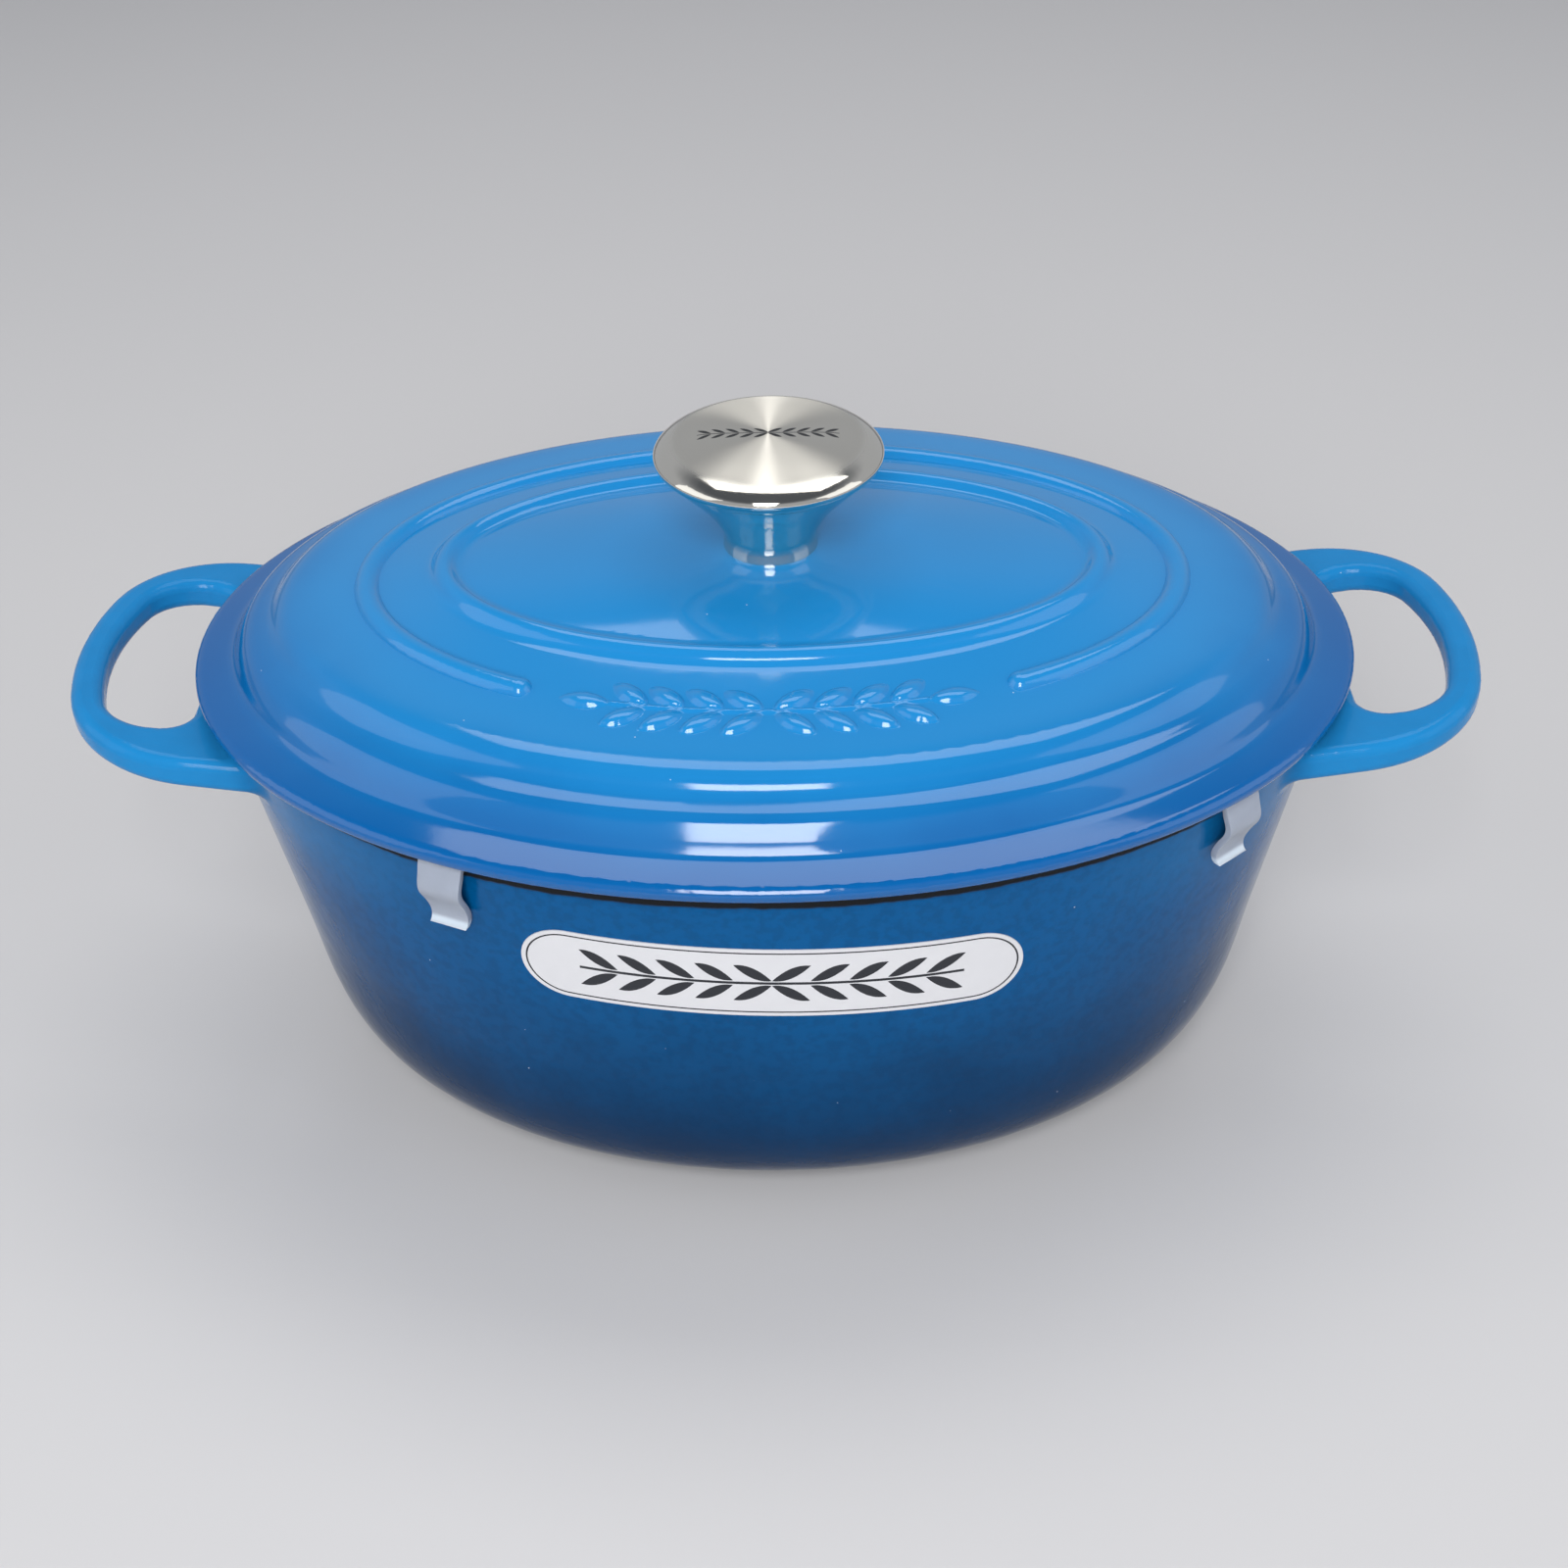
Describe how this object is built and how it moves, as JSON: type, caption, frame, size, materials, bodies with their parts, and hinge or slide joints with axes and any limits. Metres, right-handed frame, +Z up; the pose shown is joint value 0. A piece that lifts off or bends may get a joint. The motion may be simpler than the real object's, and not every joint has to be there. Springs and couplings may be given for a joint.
{
  "type": "dutch oven",
  "caption": "Oval enamelled cast iron dutch oven with loop handles, a stepped lid that lifts off, a metal knob, rim clips and a label.",
  "frame": {"origin": "centre of the base, on the surface the pot stands on", "axes": "+X along the oval towards one loop handle, -Y the front with the label, +Z up through the knob"},
  "size_m": [0.363, 0.2198, 0.1761],
  "materials": {
    "pot_enamel": "glossy blue enamel, darker towards the base, matt black on the rim, sand inside",
    "lid_enamel": "glossy blue enamel, lighter in the middle",
    "brushed_steel": "round-brushed top, polished shoulder",
    "polished_steel": "polished stainless steel",
    "plated_steel": "plated steel",
    "clip_plastic": "soft translucent white plastic",
    "label_film": "white satin film"
  },
  "bodies": {
    "pot": {"pot_body": "pot_enamel", "front_label": "label_film", "rim_clip_front_left": "clip_plastic", "rim_clip_front_right": "clip_plastic", "rim_clip_rear_right": "clip_plastic", "rim_clip_rear_left": "clip_plastic"},
    "lid": {"lid": "lid_enamel", "knob_cap": "brushed_steel", "knob_stem": "polished_steel", "knob_core": "plated_steel", "knob_screw": "plated_steel", "screw_washer": "plated_steel"}
  },
  "joints": [
    {"name": "lid_lift", "type": "slide", "parent": "pot", "child": "lid", "axis": [0, 0, 1], "range_m": [0, 0.08]}
  ]
}
